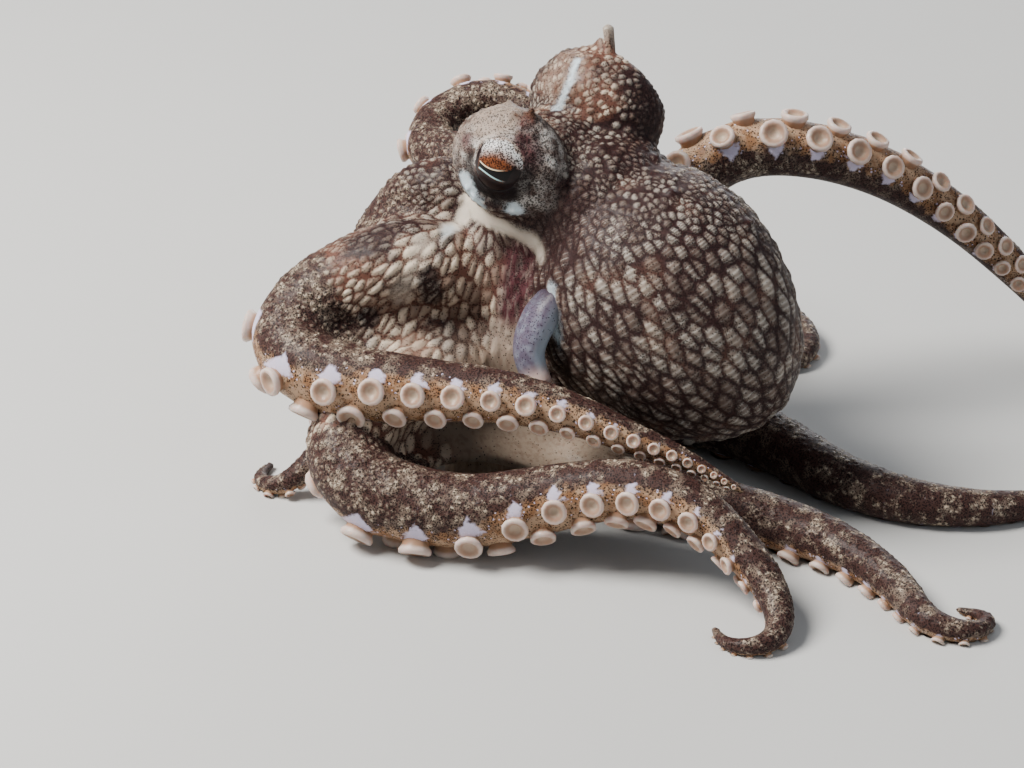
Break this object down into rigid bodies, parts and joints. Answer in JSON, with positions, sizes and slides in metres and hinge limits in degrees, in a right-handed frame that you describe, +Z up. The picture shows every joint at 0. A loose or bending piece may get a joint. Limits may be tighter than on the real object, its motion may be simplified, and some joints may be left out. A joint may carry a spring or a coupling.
{
  "type": "octopus",
  "caption": "Small veined octopus at rest, head raised, body sack behind it, arms folded close on one side and spread on the other.",
  "frame": {"origin": "on the floor, on the flat underside of the crown, below the middle of the head", "axes": "-X the way the head faces, +X along the mantle to its tip, -Y the animal's left side, +Z up"},
  "size_m": [0.1014, 0.097, 0.0556],
  "materials": {
    "head_skin": "moist mottled skin",
    "crown_skin": "moist pale netted skin",
    "mantle_skin": "moist dark netted skin",
    "siphon_skin": "smooth lavender skin",
    "arm_skin": "moist speckled skin",
    "eye": "wet gloss"
  },
  "bodies": {
    "root": {"head": "head_skin", "crown": "crown_skin", "mantle": "mantle_skin", "siphon": "siphon_skin", "eye_left": "eye", "eye_right": "eye", "arm_l1_1": "arm_skin", "arm_l1_2": "arm_skin", "arm_l1_3": "arm_skin", "arm_l2_1": "arm_skin", "arm_l2_2": "arm_skin", "arm_l2_3": "arm_skin", "arm_l3_1": "arm_skin", "arm_l3_2": "arm_skin", "arm_l3_3": "arm_skin", "arm_l4_1": "arm_skin", "arm_l4_2": "arm_skin", "arm_l4_3": "arm_skin", "arm_r4_1": "arm_skin", "arm_r4_2": "arm_skin", "arm_r4_3": "arm_skin", "arm_r3_1": "arm_skin", "arm_r3_2": "arm_skin", "arm_r3_3": "arm_skin", "arm_r2_1": "arm_skin", "arm_r2_2": "arm_skin", "arm_r2_3": "arm_skin", "arm_r1_1": "arm_skin", "arm_r1_2": "arm_skin", "arm_r1_3": "arm_skin"}
  },
  "joints": []
}
